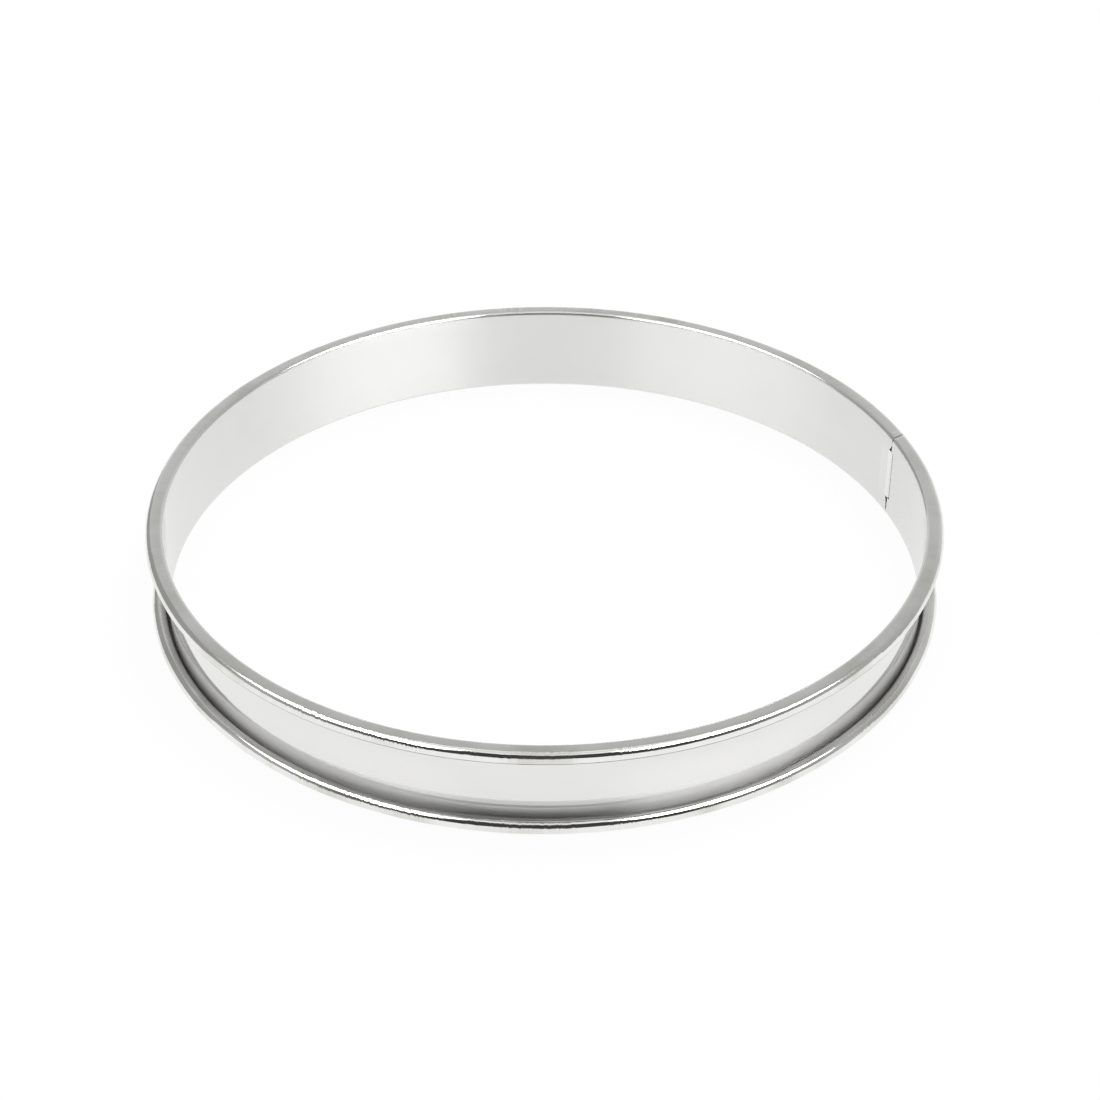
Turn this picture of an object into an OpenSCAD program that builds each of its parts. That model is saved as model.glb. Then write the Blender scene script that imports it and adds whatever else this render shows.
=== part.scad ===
// Flan ring: one strip of tinned sheet with both edges rolled outwards, closed by a folded seam.

/* [Ring] */
// Diameter of the opening, across the inner face of the wall
inner_d = 200; // [120:1:320]
// Height over both rolled edges
ring_h = 25; // [20:0.5:50]
// Thickness of the sheet
sheet_t = 0.45; // [0.3:0.05:0.5]

/* [Rolled edges] */
// Outside diameter of each curl
curl_d = 3.7; // [3.2:0.1:4.1]
// Space between the wall and the back of a curl
curl_gap = 0.6; // [0.6:0.1:1.5]
// Outer radius of the bend that leads from the wall into a roll
bend_r = 1.15; // [1.1:0.05:1.6]
// Degrees that a curl turns between its crest and its free edge
curl_turn = 280; // [200:5:290]

/* [Seam] */
// Direction of the seam, in degrees from the X axis
seam_at = 18; // [0:1:90]
// Width of the folded seam along the wall
lock_w = 4.5; // [3:0.5:8]
// Distance from the top of the ring down to the folded seam
lock_below_top = 4.3; // [4.3:0.1:6]
// Distance from the bottom of the ring up to the folded seam
lock_above_base = 5.7; // [4.7:0.1:7]
// Play between two layers of the folded seam
play = 0.05; // [0.03:0.01:0.08]
// Inner radius of the bend that sets the sheet down beside the fold
set_down_r = 0.15; // [0.1:0.05:0.15]

/* [Ends of the rolls] */
// Length of the narrower roll end that slides into the covering one
tongue_len = 5; // [2:0.5:12]
// Length over which that end dips by one layer
dip_len = 0.7; // [0.4:0.1:1]
// Height of the snipped corners above and below the folded seam
notch_h = 1.9; // [1:0.1:2.5]
// Reach of the snipped corners into the covering end
notch_w = 1.2; // [0.8:0.1:2.5]
// How far the upper covering end is cut back at the wall
top_cut = 0.1; // [0.1:0.1:0.6]
// How far the upper covering end is cut back where it meets the outside
top_skew = 1.7; // [0.7:0.1:3]
// How far the lower covering end is cut back
base_cut = 0.6; // [0.2:0.1:3]

/* [Hidden] */

// Radius of the inner face of the wall
inner_r = inner_d / 2;
// Radius of a curl
curl_r = curl_d / 2;
// Distance from the inner face of the wall to the centre of a curl
curl_x = sheet_t + curl_gap + curl_r;
// Largest radius of the ring
outer_r = inner_r + curl_x + curl_r;
// Depth from the face of one layer to the face of the next
pitch = sheet_t + play;
// Outer radius of a fold, which closes round one layer
fold_r = pitch + sheet_t / 2;
// Radius of the face of each layer of the folded seam, numbered outwards from the wall
layer_r = [for (k = [0 : 3]) inner_r + k * pitch];
// The covering end folds at the plane y = 0, the inserted end at an angle beyond it
cover_fold = [layer_r[1] + sheet_t / 2, 0];
insert_at = (lock_w - 2 * fold_r) / inner_r * 180 / PI;
insert_fold = (layer_r[2] + sheet_t / 2) * [cos(insert_at), sin(insert_at)];
// Inner radius of the inserted end where it wraps round the covering fold
wrap_r = fold_r + play;
// Centre of the bend that sets the inserted end down to the wall's own line
set_down = [inner_r + sheet_t + set_down_r, -(wrap_r + sheet_t + set_down_r)];
// The plain strip ends on the inserted side at this y
strip_end = set_down[1];
// Heights of the folded seam
lock_base = lock_above_base;
lock_top = ring_h - lock_below_top;
// Lengths of wall that the inserted roll ends carry, up to the play beside the folded seam
top_stub = lock_below_top - bend_r - play;
base_stub = lock_above_base - bend_r - play;
// Steps in which the inserted roll end dips behind the covering one, and the length of one
dip_steps = 4;
dip_step = dip_len / (dip_steps - 1);
// Length of a step that reaches back into the one before it
dip_back = dip_step / 2;
// Extra reach of a cutting shape past what it cuts
over = 1;
// Outline that bounds a sector: its reach in radii of the sector, and the largest angle of one side
sector_reach = 1.3;
sector_step = 60;
// Facets of a revolved shape, of a bend, and of a half turn in the folded seam
ring_fn = 240;
bend_fn = 48;
fold_steps = 12;

// Points along an arc
function arc(centre, r, from, to, steps) =
    [for (k = [0 : steps]) let (a = from + k * (to - from) / steps) centre + r * [cos(a), sin(a)]];

// Points in the opposite order
function reversed(points) = [for (k = [len(points) - 1 : -1 : 0]) points[k]];

// Sector of a flat ring between two radii and two angles
module sector(r_in, r_out, from, to) {
    sides = ceil((to - from) / sector_step);
    intersection() {
        difference() {
            circle(r_out, $fn = bend_fn);
            circle(r_in, $fn = bend_fn);
        }
        polygon(concat([[0, 0]], arc([0, 0], sector_reach * r_out, from, to, sides)));
    }
}

// Section of a rolled edge, from its crest down to a stub of the wall, if it has one.
// x runs outwards from the wall's inner face; inset is the depth of the layer behind that face.
module roll_section(stub, inset = 0) {
    if (stub > 0)
        translate([inset, -bend_r - stub])
            square([sheet_t, stub]);
    translate([bend_r, -bend_r])
        sector(bend_r - inset - sheet_t, bend_r - inset, 90, 180);
    translate([bend_r, -inset - sheet_t])
        square([curl_x - bend_r, sheet_t]);
    translate([curl_x, -curl_r])
        sector(curl_r - inset - sheet_t, curl_r - inset, 90 - curl_turn, 90);
}

// Both rolled edges, the lower one turned over
module ring_section(top_stub, base_stub, inset = 0) {
    translate([inner_r, ring_h])
        roll_section(top_stub, inset);
    translate([inner_r, 0])
        mirror([0, 1])
            roll_section(base_stub, inset);
}

// Block beside the seam, between two values of y and two heights
module seam_block(y_from, y_to, z_from, z_to) {
    translate([inner_r - over, y_from, z_from])
        cube([outer_r - inner_r + 2 * over, y_to - y_from, z_to - z_from]);
}

// The plain strip: the whole ring less the gap between its two ends
module strip() {
    half_wall = ring_h / 2 - bend_r;
    difference() {
        rotate_extrude($fn = ring_fn)
            ring_section(half_wall, half_wall);
        seam_block(strip_end, 0, -over, ring_h + over);
        snip([[notch_w, lock_top], [0, lock_top + notch_h]]);
        snip([[notch_w, lock_base], [base_cut, lock_base - notch_h]]);
        end_cut(lock_top + notch_h, ring_h + over, top_cut, top_skew);
        end_cut(-over, lock_base - notch_h, base_cut, base_cut);
    }
}

// Snipped corner of the covering end: what lies before a slope, cut through the wall alone
module snip(slope) {
    before = -over;
    translate([inner_r - over, 0, 0])
        rotate([90, 0, 90])
            linear_extrude(curl_x - curl_r + over)
                polygon([[before, slope[0][1]], slope[0], slope[1], [before, slope[1][1]]]);
}

// Skew cut across a roll's covering end, from near_y at the wall to far_y at the outside
module end_cut(z_from, z_to, near_y, far_y) {
    x_near = inner_r - over;
    x_far = outer_r + over;
    slope = (far_y - near_y) / (outer_r - inner_r);
    before = -over;
    translate([0, 0, z_from])
        linear_extrude(z_to - z_from)
            polygon([
                [x_near, before],
                [x_far, before],
                [x_far, far_y + slope * over],
                [x_near, near_y - slope * over]
            ]);
}

// Plan of the covering end: folded back outside the inserted end
module covering_plan() {
    outside = concat(
        arc(cover_fold, fold_r, 180, 360, fold_steps),
        arc([0, 0], layer_r[2] + sheet_t, 0, insert_at, fold_steps));
    inside = concat(
        arc(cover_fold, fold_r - sheet_t, 180, 360, fold_steps),
        arc([0, 0], layer_r[2], 0, insert_at, fold_steps));
    polygon(concat(outside, reversed(inside)));
}

// Plan of the inserted end: set up from the wall, round the covering fold, then folded back into it
module inserted_plan() {
    half_steps = fold_steps / 2;
    inside = concat(
        arc(set_down, set_down_r + sheet_t, 180, 90, half_steps),
        arc(cover_fold, wrap_r, 270, 360, half_steps),
        arc([0, 0], layer_r[3], 0, insert_at, fold_steps),
        arc(insert_fold, fold_r - sheet_t, insert_at, insert_at + 180, fold_steps),
        arc([0, 0], layer_r[1] + sheet_t, insert_at, 0, fold_steps));
    outside = concat(
        arc(set_down, set_down_r, 180, 90, half_steps),
        arc(cover_fold, wrap_r + sheet_t, 270, 360, half_steps),
        arc([0, 0], layer_r[3] + sheet_t, 0, insert_at, fold_steps),
        arc(insert_fold, fold_r, insert_at, insert_at + 180, fold_steps),
        arc([0, 0], layer_r[1], insert_at, 0, fold_steps));
    polygon(concat(outside, reversed(inside)));
}

// Both ends interlocked over the height of the folded seam
module folded_seam() {
    translate([0, 0, lock_base])
        linear_extrude(lock_top - lock_base) {
            covering_plan();
            inserted_plan();
        }
}

// Part of the ring near the seam, between two values of y
module near_seam(y_from, y_to) {
    intersection() {
        rotate_extrude($fn = ring_fn)
            children();
        seam_block(y_from, y_to, -over, ring_h + over);
    }
}

// Wall of the inserted end beside the snipped corners, clear of the covering fold between them
module inserted_wall() {
    near_seam(strip_end, strip_end + dip_len + dip_back)
        translate([inner_r, 0]) {
            translate([0, lock_top + play])
                square([sheet_t, top_stub]);
            translate([0, bend_r])
                square([sheet_t, base_stub]);
        }
}

// Roll ends of the inserted side, which dip by one layer and slide into the covering rolls.
// Each step reaches back into the one before it, and the last one carries the wall behind.
module tongues() {
    for (k = [1 : dip_steps]) {
        is_last = k == dip_steps;
        y_from = strip_end + (k - 1) * dip_step - dip_back;
        y_to = is_last ? tongue_len : strip_end + k * dip_step;
        near_seam(y_from, y_to)
            ring_section(is_last ? top_stub : 0, is_last ? base_stub : 0, pitch * k / dip_steps);
    }
}

module ring() {
    color("silver")
        rotate([0, 0, seam_at]) {
            strip();
            folded_seam();
            inserted_wall();
            tongues();
        }
}

ring();
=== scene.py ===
import math

import bmesh
import bpy
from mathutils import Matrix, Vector


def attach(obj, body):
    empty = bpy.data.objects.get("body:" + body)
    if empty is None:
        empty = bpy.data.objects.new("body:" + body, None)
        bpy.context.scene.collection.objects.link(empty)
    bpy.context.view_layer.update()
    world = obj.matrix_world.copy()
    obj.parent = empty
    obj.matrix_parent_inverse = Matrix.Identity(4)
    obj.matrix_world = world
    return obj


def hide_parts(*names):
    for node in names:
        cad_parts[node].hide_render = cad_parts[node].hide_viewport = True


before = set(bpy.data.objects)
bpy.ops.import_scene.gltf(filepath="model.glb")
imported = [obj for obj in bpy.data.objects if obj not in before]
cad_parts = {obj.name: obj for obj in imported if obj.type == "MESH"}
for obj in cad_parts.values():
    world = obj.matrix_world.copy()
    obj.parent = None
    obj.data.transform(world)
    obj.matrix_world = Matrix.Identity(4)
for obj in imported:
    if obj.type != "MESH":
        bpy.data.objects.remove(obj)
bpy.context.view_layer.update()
ops = bpy.ops


# shader maths written as expressions: a Wire is one socket's output
class Wire:
    def __init__(self, tree, out=None):
        self.tree = tree
        self.out = out

    def node(self, kind, settings=None, links=None, pick=0):
        made = self.tree.nodes.new(kind)
        for name, value in (settings or {}).items():
            setattr(made, name, value)
        for name, value in (links or {}).items():
            if isinstance(value, Wire):
                self.tree.links.new(value.out, made.inputs[name])
            else:
                made.inputs[name].default_value = value
        return Wire(self.tree, made.outputs[pick])

    def maths(self, operation, *others):
        links = dict(enumerate((self, *others)))
        return self.node("ShaderNodeMath", {"operation": operation}, links)

    def vector(self, operation, *others):
        first = 3 if operation == "SCALE" else 1
        links = {first + k: other for k, other in enumerate(others)}
        return self.node("ShaderNodeVectorMath", {"operation": operation}, {0: self, **links})

    def __add__(self, other):
        return self.maths("ADD", other)

    def __sub__(self, other):
        return self.maths("SUBTRACT", other)

    def __rsub__(self, other):
        return self.node("ShaderNodeMath", {"operation": "SUBTRACT"}, {0: other, 1: self})

    def __mul__(self, other):
        return self.maths("MULTIPLY", other)

    def __truediv__(self, other):
        return self.maths("DIVIDE", other)

    __radd__ = __add__
    __rmul__ = __mul__

    def rise(self, low, high):  # 0 below low, 1 above high, smooth between them
        return self.node(
            "ShaderNodeMapRange",
            {"interpolation_type": "SMOOTHSTEP"},
            {"Value": self, "From Min": low, "From Max": high},
        )

    def band(self, low, high, soft):  # 1 between low and high, with soft edges
        return self.rise(low - soft, low + soft) * (1 - self.rise(high - soft, high + soft))

    def mix(self, colourA, colourB):  # self is the share of colourB
        return self.node(
            "ShaderNodeMix",
            {"data_type": "RGBA"},
            {0: self, 6: colourA, 7: colourB},
            pick=2,
        )

    def noise(self, place, scale, detail):
        return self.node(
            "ShaderNodeTexNoise",
            links={"Vector": place, "Scale": scale, "Detail": detail},
        )


def newMaterial(name):
    material = bpy.data.materials.new(name)
    material.use_nodes = True
    tree = material.node_tree
    return material, tree, tree.nodes["Principled BSDF"]


def seenDirectly(base):  # 1 for rays from the camera, from a reflection or through a surface
    camera, glossy, through = (base.node("ShaderNodeLightPath", pick=k) for k in (0, 3, 6))
    return camera.maths("MAXIMUM", glossy).maths("MAXIMUM", through)


strip = dict(
    innerRadius=0.1,
    height=0.025,
    sheet=0.00045,
    curlRadius=0.00185,
    curlGap=0.0006,
    bendRadius=0.00115,
    curlTurn=280,  # degrees from the crest to the free edge
    wallRows=3,
    bendSteps=7,
    flatSteps=2,
    curlSteps=28,
    columns=354,
    fineSpan=3.0,  # degrees beside each end that have finer columns
    coveringFineSteps=12,
    insertedFineSteps=9,
    sharpAngle=32,  # degrees
)
seam = dict(
    azimuth=18.0,
    lockBase=0.0057,
    lockTop=0.0207,
    lockWidth=0.0045,
    play=0.00005,
    setDownRadius=0.00015,
    notchHeight=0.0019,
    notchWidth=0.0012,
    topCut=0.0001,
    topSkew=0.0017,
    baseCut=0.0006,
    cutReach=0.006,  # the cuts of the covering end stay within this length
    tongueLength=0.005,
    dipLength=0.0005,
    dipStart=0.001,  # the inserted end stays level for this much longer than the plain strip
    dipSkew=0.0016,  # the upper roll end dips this much later at its outside than at the wall
    dipSteps=6,
    foldSteps=10,
    wallSteps=3,
    levelSteps=8,
    skewBands=24,
    proud=0.00022,  # how far the covering roll end stands out
    proudLength=0.0045,
    proudSteps=12,
    # from and to this depth behind the wall's face, this share of it
    proudParts=((0.0006, 0.001, 0.3), (0.001, 0.0014, 0.65), (0.0014, 0.01, 1)),
)
near = 1e-6  # the same place
close = 2e-5  # the same edge of the strip
loose = 1e-4  # the same edge after it is skewed or dipped
innerRadius, middle = strip["innerRadius"], strip["height"] / 2
bendBase, bendTop = strip["bendRadius"], strip["height"] - strip["bendRadius"]
curlX = strip["sheet"] + strip["curlGap"] + strip["curlRadius"]
outerRadius = innerRadius + curlX + strip["curlRadius"]
pitch = strip["sheet"] + seam["play"]
layers = [innerRadius + k * pitch for k in range(4)]
foldRadius = pitch + strip["sheet"] / 2
wrapRadius = foldRadius + seam["play"]
stripEnd = -(wrapRadius + strip["sheet"] + seam["setDownRadius"])
dipAt = stripEnd + seam["dipStart"]
insertAt = (seam["lockWidth"] - 2 * foldRadius) / innerRadius
notchTop = seam["lockTop"] + seam["notchHeight"]
notchBase = seam["lockBase"] - seam["notchHeight"]


def select(kind, test):  # leaves selected what passes the test, by its middle
    mesh = bmesh.from_edit_mesh(bpy.context.object.data)
    for item in (*mesh.faces, *mesh.edges, *mesh.verts):
        item.select = False
    ops.mesh.select_mode(type=kind)
    if kind == "VERT":
        chosen = [v for v in mesh.verts if test(v.co)]
    elif kind == "EDGE":  # only the edges at a border
        chosen = [
            e
            for e in mesh.edges
            if len(e.link_faces) < 2 and test((e.verts[0].co + e.verts[1].co) / 2)
        ]
    else:
        chosen = [f for f in mesh.faces if test(f.calc_center_median())]
    for item in chosen:
        item.select_set(True)
    mesh.select_flush_mode()
    bmesh.update_edit_mesh(bpy.context.object.data)
    return len(chosen)


# spins what is selected, seen from above anticlockwise
def turn(centre, degrees, steps, axis=(0, 0, -1)):
    ops.mesh.spin(
        steps=steps,
        angle=math.radians(degrees),
        center=(centre[0], centre[1], centre[2] if len(centre) > 2 else 0),
        axis=axis,
    )


def turnAlong(length, steps):  # spins it around the ring, by a length along the wall
    turn((0, 0), math.degrees(length / innerRadius), steps)


# cuts the faces that pass the test and removes what is behind the plane
def cutAway(point, normal, test):
    ahead = Vector(normal).normalized()

    def behind(c):
        return test(c) and ahead.dot(c - Vector(point)) < 0

    select("FACE", test)
    ops.mesh.bisect(plane_co=point, plane_no=ahead)
    print("  cut away", select("FACE", behind), "faces")
    ops.mesh.delete(type="FACE")


def fromAxis(c):
    return c.to_2d().length


def inLock(c):
    return seam["lockBase"] < c.z < seam["lockTop"]


# draws one side of the sheet in section: the wall's inner face and the outside of both rolls
def sectionPath():
    wallStep = (bendTop - middle) / strip["wallRows"]
    flatStep = (curlX - strip["bendRadius"]) / strip["flatSteps"]
    ops.object.select_all(action="DESELECT")
    ops.mesh.primitive_plane_add(size=0.001, location=(0, 0, 0))
    ops.object.mode_set(mode="EDIT")
    ops.mesh.select_mode(type="VERT")
    ops.mesh.select_all(action="SELECT")
    ops.mesh.merge(type="CENTER")
    ops.transform.translate(value=(innerRadius, 0, middle))
    for _ in range(strip["wallRows"]):
        ops.mesh.extrude_vertices_move(TRANSFORM_OT_translate={"value": (0, 0, wallStep)})
    bendCentre = (innerRadius + strip["bendRadius"], 0, bendTop)
    turn(bendCentre, 90, strip["bendSteps"], (0, -1, 0))
    for _ in range(strip["flatSteps"]):
        ops.mesh.extrude_vertices_move(TRANSFORM_OT_translate={"value": (flatStep, 0, 0)})
    curlCentre = (innerRadius + curlX, 0, strip["height"] - strip["curlRadius"])
    turn(curlCentre, strip["curlTurn"], strip["curlSteps"], (0, -1, 0))
    ops.mesh.select_all(action="SELECT")
    ops.mesh.duplicate()
    ops.transform.resize(value=(1, 1, -1), center_override=(0, 0, middle))
    ops.mesh.select_all(action="SELECT")
    ops.mesh.remove_doubles(threshold=near)
    for height in (notchBase, seam["lockBase"], seam["lockTop"], notchTop):
        ops.mesh.select_all(action="SELECT")
        ops.mesh.bisect(plane_co=(0, 0, height), plane_no=(0, 0, 1))


def wholeStrip():
    endTurn = math.degrees(math.asin(-stripEnd / innerRadius))
    ops.mesh.select_all(action="SELECT")
    turn((0, 0), strip["fineSpan"], strip["coveringFineSteps"])
    turn((0, 0), 360 - 2 * strip["fineSpan"], strip["columns"])
    turn((0, 0), strip["fineSpan"] - endTurn, strip["insertedFineSteps"])
    ops.mesh.select_all(action="SELECT")
    ops.mesh.remove_doubles(threshold=near)
    ops.mesh.normals_make_consistent(inside=False)
    mesh = bmesh.from_edit_mesh(bpy.context.object.data)
    mesh.normal_update()
    wall = min(mesh.faces, key=lambda f: fromAxis(f.calc_center_median()))
    if wall.normal.dot(wall.calc_center_median()) > 0:  # the wall's face has to look at the axis
        ops.mesh.flip_normals()


def coveringEnd():
    skew = (seam["topSkew"] - seam["topCut"]) / (outerRadius - innerRadius)

    def beside(c):
        return c.x > 0 and -near < c.y < seam["cutReach"]

    def behindWall(c):
        return c.x > innerRadius + strip["curlGap"]

    def upperRoll(c):
        return beside(c) and (c.z > notchTop or (c.z > seam["lockTop"] and behindWall(c)))

    def lowerRoll(c):
        return beside(c) and c.z < notchBase

    def upperCorner(c):
        return beside(c) and seam["lockTop"] < c.z < notchTop and not behindWall(c)

    def lowerCorner(c):
        return beside(c) and notchBase < c.z < seam["lockBase"] and not behindWall(c)

    cutAway((innerRadius, seam["topCut"], 0), (-skew, 1, 0), upperRoll)
    cutAway((innerRadius, seam["baseCut"], 0), (0, 1, 0), lowerRoll)
    cutAway(
        (innerRadius, seam["notchWidth"], seam["lockTop"]),
        (0, seam["notchHeight"], seam["notchWidth"]),
        upperCorner,
    )
    cutAway(
        (innerRadius, seam["notchWidth"], seam["lockBase"]),
        (0, seam["notchHeight"], seam["baseCut"] - seam["notchWidth"]),
        lowerCorner,
    )
    atFold = select("EDGE", lambda c: inLock(c) and abs(c.y) < near and c.x > 0)
    print("  fold", atFold, "edges")
    turn((layers[1] + strip["sheet"] / 2, 0), 180, seam["foldSteps"])
    turn((0, 0), math.degrees(insertAt), seam["wallSteps"])


def insertedEnd():
    def late(c):  # how much later than the wall the upper roll end dips here
        if c.z <= middle:
            return 0
        return seam["dipSkew"] * (fromAxis(c) - innerRadius) / (outerRadius - innerRadius)

    def atEnd(c):
        return c.x > 0 and abs(c.y - stripEnd * fromAxis(c) / innerRadius) < close

    def atSkewEnd(c):
        return c.x > 0 and abs(c.y - late(c) - stripEnd * fromAxis(c) / innerRadius) < loose

    def inWall(c):
        return fromAxis(c) < innerRadius + close and bendBase < c.z < bendTop

    def dipped(c):
        sunk = abs(fromAxis(c) - layers[1]) < loose / 2
        return sunk and c.x > 0 and dipAt + seam["dipLength"] < c.y

    def ease(k):
        return (1 - math.cos(math.pi * k / seam["dipSteps"])) / 2

    print("  lock", select("EDGE", lambda c: atEnd(c) and inWall(c) and inLock(c)), "edges")
    half = seam["foldSteps"] // 2
    turn((innerRadius + strip["sheet"] + seam["setDownRadius"], stripEnd), -90, half)
    turn((layers[1] + strip["sheet"] / 2, 0), 90, half)
    turn((0, 0), math.degrees(insertAt), seam["wallSteps"])
    backAt = layers[2] + strip["sheet"] / 2
    turn((backAt * math.cos(insertAt), backAt * math.sin(insertAt)), 180, seam["foldSteps"])
    turn((0, 0), -math.degrees(insertAt), seam["wallSteps"])

    flush = select("EDGE", lambda c: atEnd(c) and inWall(c) and not inLock(c))
    print("  flush wall", flush, "edges")
    turnAlong(dipAt - stripEnd + seam["dipLength"] / 2, seam["wallSteps"])

    # skews the end of the upper roll, so that all that is spun from it is skew
    bands = seam["skewBands"]
    for k in range(bands):
        low, high = (
            innerRadius + (outerRadius - innerRadius) * (k + j) / bands + close for j in (0, 1)
        )

        def inBand(c):
            return atEnd(c) and c.z > seam["lockTop"] and low < fromAxis(c) <= high

        if select("VERT", inBand):
            angle = seam["dipSkew"] * (k + 0.5) / bands / innerRadius
            ops.transform.rotate(value=-angle, orient_axis="Z", center_override=(0, 0, 0))

    print("  tongue", select("EDGE", lambda c: atSkewEnd(c) and not inWall(c)), "edges")
    turnAlong(seam["dipStart"], 1)
    for k in range(seam["dipSteps"]):
        turnAlong(seam["dipLength"] / seam["dipSteps"], 1)
        ops.transform.shrink_fatten(value=-pitch * (ease(k + 1) - ease(k)), use_even_offset=True)
    turnAlong(seam["tongueLength"] - dipAt - seam["dipLength"], seam["levelSteps"])

    # the wall that the dipped roll ends carry, up to the play beside the fold
    upperReach, lowerReach = seam["lockTop"] + seam["play"], seam["lockBase"] - seam["play"]
    for foot, reach in ((bendTop, upperReach), (bendBase, lowerReach)):
        print("  stub", select("EDGE", lambda c: dipped(c) and abs(c.z - foot) < loose), "edges")
        ops.mesh.extrude_edges_move(TRANSFORM_OT_translate={"value": (0, 0, reach - foot)})


def proudEnd():  # the covering roll stands out where it takes in the other
    steps = seam["proudSteps"]
    for nearer, farther, part in seam["proudParts"]:
        for k in range(steps):
            low, high = (seam["proudLength"] * (k + j) / steps for j in (0, 1))

            def inStep(c):
                deep = nearer <= fromAxis(c) - innerRadius < farther
                return deep and c.x > 0 and low <= c.y < high and c.z > notchTop

            if select("VERT", inStep):
                share = (1 + math.cos(math.pi * (k + 0.5) / steps)) / 2
                ops.transform.shrink_fatten(value=seam["proud"] * share * part)


sectionPath()
print("section drawn")
wholeStrip()
print("strip spun")
coveringEnd()
proudEnd()
print("covering end cut and folded")
insertedEnd()
print("inserted end folded")
ring = bpy.context.object
ring.name = "flanRing"
azimuth = math.radians(seam["azimuth"])
ops.mesh.select_mode(type="VERT")
ops.mesh.select_all(action="SELECT")
ops.transform.rotate(value=-azimuth, orient_axis="Z", center_override=(0, 0, 0))
ops.object.mode_set(mode="OBJECT")
solid = ring.modifiers.new("sheet", "SOLIDIFY")
solid.thickness = strip["sheet"]
solid.offset = -1
ops.object.modifier_apply(modifier="sheet")
ops.object.shade_smooth_by_angle(angle=math.radians(strip["sharpAngle"]))
print("sheet", len(ring.data.polygons), "faces")

# bright tinned sheet: a mirror, with a faint grain on the wall that smears lights up and down
tin = dict(
    colour=(0.86, 0.857, 0.845, 1),
    stained=(0.66, 0.655, 0.6, 1),
    # near black of dirt and painted shade in the seam's corners and gaps
    soiledAndShaded=(0.03, 0.028, 0.025, 1),
    wallRoughness=0.035,
    rollRoughness=0.05,
    stainRoughness=0.16,
    # roughness where the dirt and painted shade lie
    soilAndShadeRoughness=0.5,
    rollDepth=(0.0006, 0.0012),  # behind the wall's face, where the wall ends and a roll begins
    bendEdge=(0.0014, 0.0007),  # from the top or the base, where the wall ends and a bend begins
    grainRoughness=0.38,
    grainRotation=0.25,
    grainInside=0.5,
    grainOutside=0.2,
    grainAtRoll=0.72,  # the outside of the wall just above the lower roll
    grainHeight=(0.0073, 0.0078),
    outsideDepth=(0.0002, 0.0003),
    streakSize=0.0003,  # the marks that rolling leaves across the rolled edges
    streakTilt=0.16,
    streakEdge=(0.3, 0.7),
    patchShare=0.04,  # how fast the patches of streaks change, against the streaks
    patchEdge=(0.4, 0.65),
    turnShare=0.0001,  # how little the streaks change along a roll's section
    lineSize=0.0004,  # the lines that rolling leaves along them
    lineTilt=0.08,
    lineShare=0.02,
    waveSize=0.02,
    waveTilt=0.03,
    waveShare=0.2,
    cloudSize=0.016,
    cloudRelief=0.3,
    cloudDepth=0.00002,
    combEdge=(0.35, 0.65),
    combStain=0.25,
    rollStain=0.75,
    rollStainEdge=(0.4, 0.75),
    wallStain=0.15,
    wallStainEdge=(0.45, 0.9),
)
# dirt and painted shade, and burnishing, at the seam: lengths along the wall, depths behind its
# face
joint = dict(
    softEdge=0.0001,
    broadEdge=0.0002,
    corner=(-0.0004, 0.0021),
    cornerDepth=(0.00001, 0.00004),
    cornerMargin=0.0003,
    groove=(-0.0007, -0.0001),
    grooveDepth=(0.0001, 0.0004),
    tucked=(0, 0.0035),
    tuckedDepth=(0.0003, 0.0005),  # under the roll's outer face
    tuckedSide=(-0.0002, 0.0002),
    facing=(0, 0.01),
    burnishEdge=0.0006,
    burnished=(0, 0.0016),
    burnishedShare=0.8,
    brushed=(0.0016, 0.0058),
    brushedShare=0.2,
)


def axes(base):
    place = base.node("ShaderNodeTexCoord", pick=3)
    split = (base.node("ShaderNodeSeparateXYZ", links={"Vector": place}, pick=k) for k in range(3))
    return (place, *split)


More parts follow.
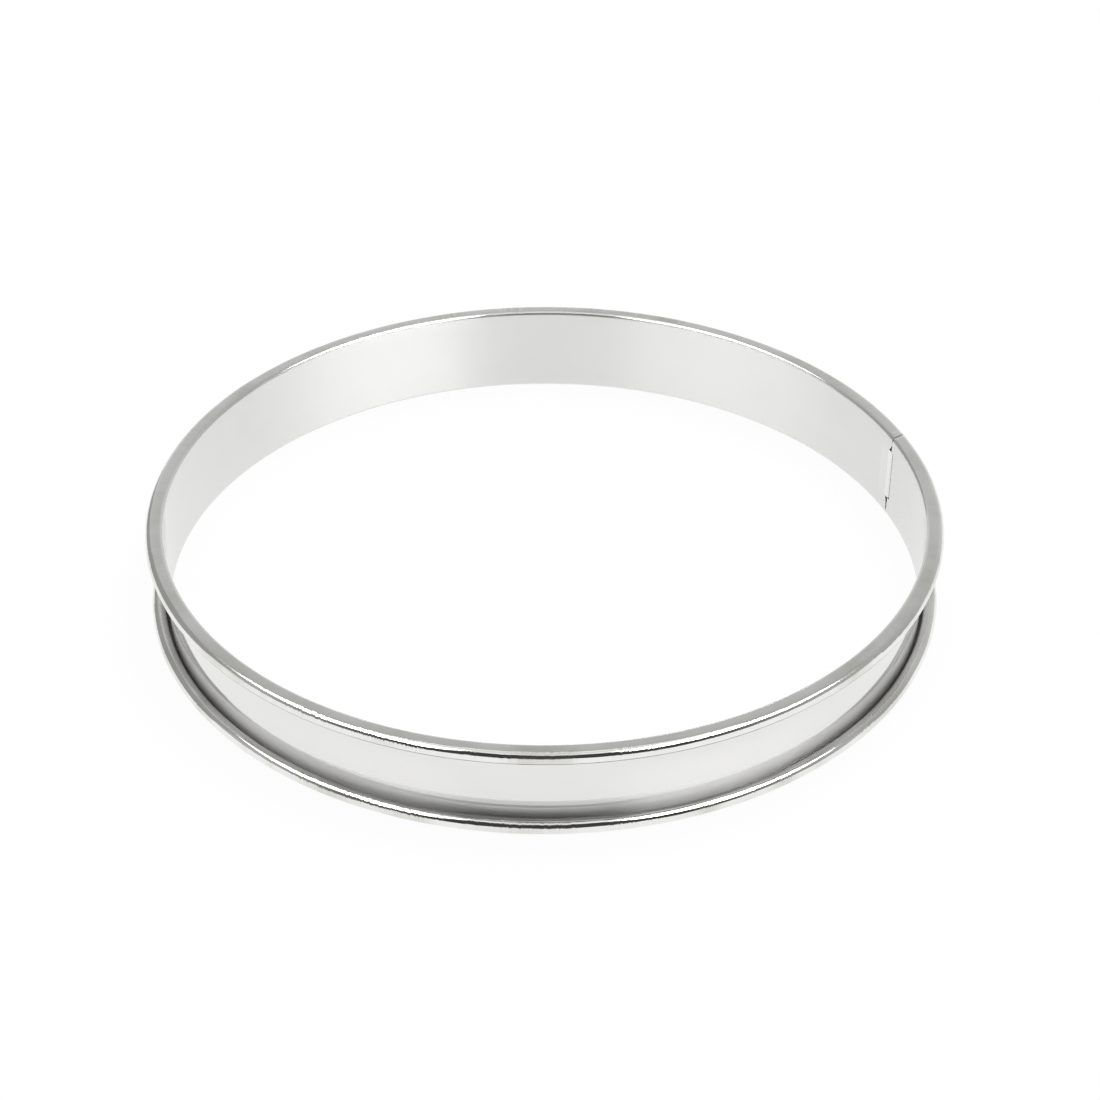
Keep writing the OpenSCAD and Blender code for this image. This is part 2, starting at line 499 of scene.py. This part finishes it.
def tinnedSteel():
    material, tree, shader = newMaterial("tinnedSteel")
    base = Wire(tree)
    place, x, y, z = axes(base)
    radius = (x * x + y * y).maths("SQRT")
    depth = radius - innerRadius
    fromMiddle = (z - middle).maths("ABSOLUTE")
    rolled = depth.rise(*tin["rollDepth"])
    bent = fromMiddle.rise(*(middle - edge for edge in tin["bendEdge"]))
    shaped = rolled.maths("MAXIMUM", bent)

    # place on the section of a roll: angle from the outermost line, and distance from the centre
    fromCurl = depth - curlX
    height = fromMiddle - (middle - strip["curlRadius"])
    rollAngle = height.maths("ARCTAN2", fromCurl)
    rollReach = (fromCurl * fromCurl + height * height).maths("SQRT")

    # what varies: marks across and along the rolls, stains and a slight waviness of the wall
    unrolled = {"X": x / radius * innerRadius, "Y": y / radius * innerRadius}
    section = {
        "X": rollAngle * strip["curlRadius"],
        "Y": x * tin["lineShare"],
        "Z": y * tin["lineShare"],
    }
    around, upright, sectionwise = (
        base.node("ShaderNodeCombineXYZ", links=links)
        for links in (
            {**unrolled, "Z": rollAngle * tin["turnShare"]},
            {**unrolled, "Z": z * tin["waveShare"]},
            section,
        )
    )
    streaks = base.noise(around, 1 / tin["streakSize"], 3).rise(*tin["streakEdge"])
    patches = base.noise(around, tin["patchShare"] / tin["streakSize"], 2)
    waves = base.noise(upright, 1 / tin["waveSize"], 1)
    cloud = base.noise(place, 1 / tin["cloudSize"], 4)
    lines = base.noise(sectionwise, 1 / tin["lineSize"], 3).rise(*tin["streakEdge"])
    combed = streaks * patches.rise(*tin["combEdge"])
    rollStain = cloud.rise(*tin["rollStainEdge"]) * tin["rollStain"] + combed * tin["combStain"]
    wallStain = cloud.rise(*tin["wallStainEdge"]) * (1 - rolled) * tin["wallStain"]
    stain = rollStain * rolled + wallStain

    # dirt and painted shade in the snipped corners, beside the fold and on the roll end that
    # slides under the other: these recesses are painted near black
    soft, broad = joint["softEdge"], joint["broadEdge"]
    along = y * math.cos(azimuth) - x * math.sin(azimuth)
    facing = (x * math.cos(azimuth) + y * math.sin(azimuth)).rise(*joint["facing"])
    upperCorner = z.band(seam["lockTop"] - joint["cornerMargin"], notchTop, soft)
    lowerCorner = z.band(notchBase, seam["lockBase"] + joint["cornerMargin"], soft)
    atCorner = along.band(*joint["corner"], soft) * depth.rise(*joint["cornerDepth"])
    atFold = along.band(*joint["groove"], soft) * depth.rise(*joint["grooveDepth"])
    groove = atFold * z.band(seam["lockBase"], seam["lockTop"], soft)
    sunk = (strip["curlRadius"] - rollReach).rise(*joint["tuckedDepth"])
    underRoll = sunk * fromCurl.rise(*joint["tuckedSide"]) * rolled
    tucked = underRoll * along.band(*joint["tucked"], broad)
    soilAndShade = (atCorner * (upperCorner + lowerCorner) + groove + tucked).maths("MINIMUM", 1) * facing
    colour = soilAndShade.mix(stain.mix(tin["colour"], tin["stained"]), tin["soiledAndShaded"])

    # the marks tip the surface along the roll's section, the waves tip it along the strip
    normal = base.node("ShaderNodeNewGeometry", pick=1)
    tangent = base.node("ShaderNodeCombineXYZ", links={"X": (0 - y) / radius, "Y": x / radius})
    acrossRoll = normal.vector("CROSS_PRODUCT", tangent)
    tilt = (streaks - 0.5) * patches.rise(*tin["patchEdge"]) * tin["streakTilt"]
    tilt = tilt + (lines - 0.5) * rolled * tin["lineTilt"]
    marked = acrossRoll.vector("SCALE", tilt * shaped)
    waved = tangent.vector("SCALE", (waves - 0.5) * tin["waveTilt"])
    tipped = normal.vector("ADD", marked).vector("ADD", waved).vector("NORMALIZE")
    relief = base.node(
        "ShaderNodeBump",
        links={
            "Strength": tin["cloudRelief"],
            "Distance": tin["cloudDepth"],
            "Height": cloud,
            "Normal": tipped,
        },
    )

    grained = tree.nodes.new("ShaderNodeBsdfPrincipled")
    for bsdf in (shader, grained):
        bsdf.inputs["Metallic"].default_value = 1
        tree.links.new(colour.out, bsdf.inputs["Base Color"])
        tree.links.new(relief.out, bsdf.inputs["Normal"])
    rough = rolled * (tin["rollRoughness"] - tin["wallRoughness"]) + tin["wallRoughness"]
    rough = rough + stain * rolled * tin["stainRoughness"] + soilAndShade * tin["soilAndShadeRoughness"]
    tree.links.new(rough.out, shader.inputs["Roughness"])
    grained.inputs["Roughness"].default_value = tin["grainRoughness"]
    grained.inputs["Anisotropic"].default_value = 1
    grained.inputs["Anisotropic Rotation"].default_value = tin["grainRotation"]

    # the seaming tool has burnished the wall beside the joint, and less so over the whole fold
    locked = z.band(seam["lockBase"], seam["lockTop"], joint["burnishEdge"]) * facing
    burnished = along.band(*joint["burnished"], broad) * joint["burnishedShare"]
    burnished = burnished + along.band(*joint["brushed"], broad) * joint["brushedShare"]
    outside = depth.rise(*tin["outsideDepth"])
    higher = z.rise(*tin["grainHeight"])
    grain = higher * (tin["grainOutside"] - tin["grainAtRoll"]) + tin["grainAtRoll"]
    grain = outside * grain + (1 - outside) * tin["grainInside"]
    both = base.node(
        "ShaderNodeMixShader",
        links={
            0: (1 - rolled) * (1 - burnished * locked) * grain,
            1: Wire(tree, shader.outputs["BSDF"]),
            2: Wire(tree, grained.outputs["BSDF"]),
        },
    )
    tree.links.new(both.out, tree.nodes["Material Output"].inputs["Surface"])
    return material


ring.data.materials.append(tinnedSteel())
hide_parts("ring")
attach(ring, "root")
print("metal finished")

# the studio: a pale floor, one soft lamp above and cards that the metal reflects
studio = dict(
    white=(1, 1, 1, 1),
    floorSize=8.0,
    floorColour=(0.9, 0.9, 0.9, 1),
    floorRoughness=0.9,
    whiteShare=0.94,
    lampSize=1.2,
    lampPlace=(0.3, 0.2, 1.6),
    lampPower=14.0,
    worldDiffuse=0.75,
    cardDistance=3.0,
    cardRows=6,
    cardColumns=(4, 6),  # the fewest, and those in a radian
    firstReflection=1.5,  # a ray depth between a reflection and a reflection of a reflection
)


def floorMaterial():
    material, tree, shader = newMaterial("paleFloor")
    shader.inputs["Base Color"].default_value = studio["floorColour"]
    shader.inputs["Roughness"].default_value = studio["floorRoughness"]
    shader.inputs["Specular IOR Level"].default_value = 0
    base = Wire(tree)
    white = base.node("ShaderNodeEmission", links={"Color": studio["white"], "Strength": 1.0})
    lit = Wire(tree, shader.outputs["BSDF"])
    share = seenDirectly(base) * studio["whiteShare"]
    both = base.node("ShaderNodeMixShader", links={0: share, 1: lit, 2: white})
    tree.links.new(both.out, tree.nodes["Material Output"].inputs["Surface"])
    return material


# a piece of a dome seen only in reflections
# azimuth 0 is on the camera's side, and grows towards the camera's right
def card(
    name,
    azimuths,
    elevations,
    level,
    topLevel=None,
    sideLevel=None,
    fadeFrom=0.35,
    nearer=0.0,
    faint=0.0,
):
    reach = studio["cardDistance"] - nearer
    first, last = (math.radians(a) for a in azimuths)
    low, high = (math.radians(e) for e in elevations)
    fewest, inRadian = studio["cardColumns"]
    ops.object.select_all(action="DESELECT")
    ops.mesh.primitive_plane_add(size=0.01, location=(0, 0, 0))
    dome = bpy.context.object
    dome.name = name
    ops.object.mode_set(mode="EDIT")
    ops.mesh.select_all(action="SELECT")
    ops.mesh.merge(type="CENTER")
    outward = Vector((math.sin(first), -math.cos(first), 0))
    foot = reach * (outward * math.cos(low) + Vector((0, 0, math.sin(low))))
    ops.transform.translate(value=foot)
    sideways = (math.cos(first), math.sin(first), 0)
    turn((0, 0, 0), math.degrees(high - low), studio["cardRows"], sideways)
    ops.mesh.select_all(action="SELECT")
    turn((0, 0), math.degrees(last - first), max(fewest, round((last - first) * inRadian)))
    ops.object.mode_set(mode="OBJECT")

    material, tree, _ = newMaterial(name)
    base = Wire(tree)
    _, x, y, z = axes(base)
    strength = level
    if topLevel is not None:
        share = (z - reach * math.sin(low)) / (reach * (math.sin(high) - math.sin(low)))
        strength = share * (topLevel - level) + level
    if faint:  # a softbox shows less in a reflection of a reflection, as in a duller metal
        rayDepth = base.node("ShaderNodeLightPath", pick="Ray Depth")
        again = rayDepth.maths("GREATER_THAN", studio["firstReflection"])
        strength = (1 - again * faint) * strength
    if sideLevel is not None:
        centre, half = (first + last) / 2, (last - first) / 2
        across = x * math.cos(centre) + y * math.sin(centre)
        aside = across.maths("ARCTAN2", x * math.sin(centre) - y * math.cos(centre))
        share = (aside / half).maths("ABSOLUTE").rise(fadeFrom, 1)
        strength = share * sideLevel + (1 - share) * strength
    glow = base.node("ShaderNodeEmission", links={"Color": studio["white"], "Strength": strength})
    tree.links.new(glow.out, tree.nodes["Material Output"].inputs["Surface"])
    dome.data.materials.append(material)
    dome.visible_camera = False
    dome.visible_diffuse = False
    dome.visible_shadow = False
    dome.visible_transmission = False


ops.object.select_all(action="DESELECT")
ops.mesh.primitive_plane_add(size=studio["floorSize"], location=(0, 0, 0))
floor = bpy.context.object
floor.name = "floor"
floor.data.materials.append(floorMaterial())
softbox = dict(sideLevel=0.1, fadeFrom=0.75, nearer=0.1, faint=0.93)
card("cameraSide", (-95, 95), (8, 60), 0.05, sideLevel=0.5)
card("behindLow", (95, 265), (0.5, 32), 0.8, topLevel=0.56, sideLevel=0.42)
card("behindHigh", (95, 265), (32, 66), 0.56, topLevel=0.45, sideLevel=0.42)
card("overhead", (0, 360), (74, 89.5), 0.8)
card("softboxRight", (26, 104), (44, 68), 10.0, **softbox)
card("softboxLeft", (-116, -28), (44, 68), 5.5, **softbox)
card("farLeft", (-150, -95), (0, 40), 0.35, nearer=0.1)

world = bpy.data.worlds.new("studio")
bpy.context.scene.world = world
world.use_nodes = True
background = world.node_tree.nodes["Background"]
worldDiffuse = studio["worldDiffuse"]
brightness = seenDirectly(Wire(world.node_tree)) * (1 - worldDiffuse) + worldDiffuse
world.node_tree.links.new(brightness.out, background.inputs["Strength"])
background.inputs["Color"].default_value = studio["white"]

ops.object.light_add(type="AREA", location=studio["lampPlace"])
lamp = bpy.context.object
lamp.name = "softLamp"
lamp.data.size = studio["lampSize"]
lamp.data.energy = studio["lampPower"]
lamp.rotation_euler = (-Vector(lamp.location)).to_track_quat("-Z", "Y").to_euler()
lamp.visible_camera = False
lamp.visible_glossy = False

# the photograph's view: the place is in outer radii of the ring, the focal length in pixels
shot = dict(
    elevation=37.127,
    focal=2523.0,
    across=-0.0136,
    up=0.2556,
    away=6.4231,
    shiftPixels=91.3,
    imageSide=1100,
    sensorWidth=36,
    clipStart=0.01,
)
elevation = math.radians(shot["elevation"])
right = Vector((1, 0, 0))
upward = Vector((0, math.sin(elevation), math.cos(elevation)))
ahead = Vector((0, math.cos(elevation), -math.sin(elevation)))
ops.object.camera_add()
camera = bpy.context.object
camera.name = "camera"
camera.location = Vector((0, 0, middle)) - outerRadius * (
    shot["across"] * right + shot["up"] * upward + shot["away"] * ahead
)
camera.rotation_euler = ahead.to_track_quat("-Z", "Y").to_euler()
camera.data.sensor_width = shot["sensorWidth"]
camera.data.lens = shot["focal"] / shot["imageSide"] * shot["sensorWidth"]
camera.data.shift_y = shot["shiftPixels"] / shot["imageSide"]
camera.data.clip_start = shot["clipStart"]
bpy.context.scene.camera = camera
bpy.context.scene.view_settings.view_transform = "Standard"
print("studio set")
